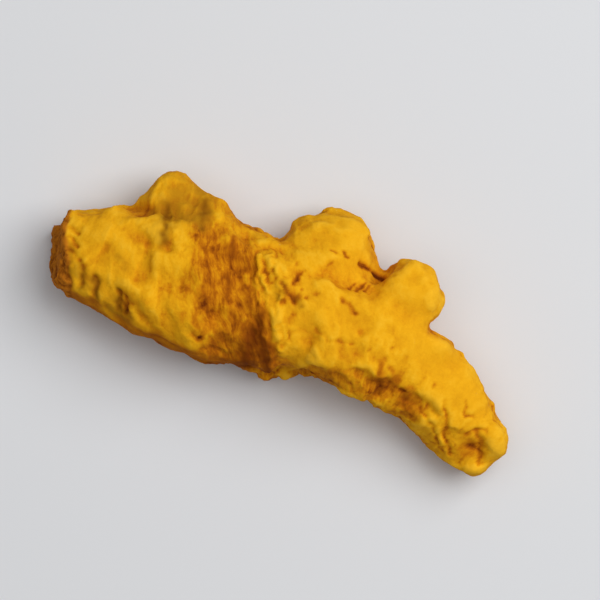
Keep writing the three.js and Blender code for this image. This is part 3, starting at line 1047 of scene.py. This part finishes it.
class TurmericStage(bpy.types.PropertyGroup):
    """The floor, the light and the camera"""

    floor_colour: colour_property("Floor", "Colour of the floor", (0.72, 0.73, 0.75))
    view_width: length_property("View width", "Width that the camera takes in", 78.0)
    lens: bpy.props.FloatProperty(
        name="Lens", description="Focal length in millimetres", default=250.0, min=1
    )
    roll: bpy.props.FloatProperty(
        name="Roll",
        description="Turn of the camera about its line of sight",
        default=math.radians(24.05),
        subtype="ANGLE",
    )
    key_power: bpy.props.FloatProperty(
        name="Key light", description="Power of the large soft light", default=3.5, min=0, unit="POWER"
    )
    fill_power: bpy.props.FloatProperty(
        name="Fill light", description="Power of the light overhead", default=1.5, min=0, unit="POWER"
    )
    world_level: bpy.props.FloatProperty(
        name="Room light", description="Brightness of the room around", default=0.18, min=0
    )


class TurmericSettings(bpy.types.PropertyGroup):
    """All that a user would change"""

    shape: bpy.props.PointerProperty(name="Shape", description="Sizes of the relief", type=TurmericShape)
    colours: bpy.props.PointerProperty(name="Colours", description="Skin colours", type=TurmericColours)
    stage: bpy.props.PointerProperty(name="Stage", description="Floor, light and camera", type=TurmericStage)


# Operators


class TURMERIC_OT_grow_rhizome(bpy.types.Operator):
    """Grow the rhizome's skin in place of its plain solid"""

    bl_idname = "turmeric.grow_rhizome"
    bl_label = "Grow rhizome"

    def execute(self, context):
        settings = context.scene.turmeric
        piece = fine_copy(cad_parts[RHIZOME_NODE], settings.shape.skin_cell)
        grow_skin(piece, settings.shape)
        piece.data.materials.append(skin_material(settings.colours))
        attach(piece, "root")
        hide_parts(RHIZOME_NODE)
        return {"FINISHED"}


class TURMERIC_OT_set_stage(bpy.types.Operator):
    """Lay the floor and place the lights and the camera"""

    bl_idname = "turmeric.set_stage"
    bl_label = "Set stage"

    def execute(self, context):
        stage = context.scene.turmeric.stage
        middle = (CAD_BOX[0] + CAD_BOX[1]) / 2
        lay_floor(stage)
        hang_lights(stage, middle)
        set_camera(stage, middle)
        context.scene.view_settings.view_transform = "Standard"
        return {"FINISHED"}


def lay_floor(stage):
    """A plain floor under the root"""
    side = 1000 * MM
    mesh = bpy.data.meshes.new("floor")
    corners = [(-side, -side, 0), (side, -side, 0), (side, side, 0), (-side, side, 0)]
    mesh.from_pydata(corners, [], [(0, 1, 2, 3)])
    mesh.materials.append(floor_material(stage.floor_colour))
    floor = bpy.data.objects.new("floor", mesh)
    bpy.context.scene.collection.objects.link(floor)


def hang_light(name, target, power, offset, width):
    """A square soft light that hangs off from its target and is turned towards it"""
    place = target + Vector(offset) * MM
    light = bpy.data.lights.new(name, "AREA")
    light.size = width * MM
    light.energy = power
    lamp = bpy.data.objects.new(name, light)
    lamp.location = place
    lamp.rotation_euler = (target - place).to_track_quat("-Z", "Y").to_euler()
    bpy.context.scene.collection.objects.link(lamp)


def hang_lights(stage, middle):
    """Two soft lights, and the even light of a white room"""
    hang_light("key light", middle, stage.key_power, offset=(240, 280, 550), width=500)
    hang_light("fill light", middle, stage.fill_power, offset=(-100, 0, 750), width=700)
    world = bpy.data.worlds.new("room")
    world.use_nodes = True
    background = world.node_tree.nodes["Background"]
    background.inputs["Color"].default_value = (1.0, 1.0, 1.0, 1.0)
    background.inputs["Strength"].default_value = stage.world_level
    bpy.context.scene.world = world


def set_camera(stage, middle):
    """The camera looks straight down on the root, through a long lens"""
    data = bpy.data.cameras.new("camera")
    data.lens = stage.lens
    data.clip_start = 1 * MM
    data.clip_end = 10000 * MM
    camera = bpy.data.objects.new("camera", data)
    distance = stage.view_width * stage.lens / data.sensor_width
    camera.location = middle + Vector((0, 0, distance))
    camera.rotation_euler = (0, 0, stage.roll)
    bpy.context.scene.collection.objects.link(camera)
    bpy.context.scene.camera = camera


class TURMERIC_PT_sidebar(bpy.types.Panel):
    """The root's settings and steps"""

    bl_label = "Turmeric root"
    bl_idname = "TURMERIC_PT_sidebar"
    bl_space_type = "VIEW_3D"
    bl_region_type = "UI"
    bl_category = "Turmeric"

    def draw(self, context):
        settings = context.scene.turmeric
        for group in (settings.shape, settings.colours, settings.stage):
            box = self.layout.box()
            for name in group.__annotations__:
                box.prop(group, name)
        self.layout.operator(TURMERIC_OT_grow_rhizome.bl_idname)
        self.layout.operator(TURMERIC_OT_set_stage.bl_idname)


CLASSES = (
    TurmericShape,
    TurmericColours,
    TurmericStage,
    TurmericSettings,
    TURMERIC_OT_grow_rhizome,
    TURMERIC_OT_set_stage,
    TURMERIC_PT_sidebar,
)


def register():
    for item in CLASSES:
        bpy.utils.register_class(item)
    bpy.types.Scene.turmeric = bpy.props.PointerProperty(type=TurmericSettings)


def unregister():
    del bpy.types.Scene.turmeric
    for item in reversed(CLASSES):
        bpy.utils.unregister_class(item)


def main():
    register()
    bpy.ops.turmeric.grow_rhizome()
    bpy.ops.turmeric.set_stage()


if __name__ == "__main__":
    main()
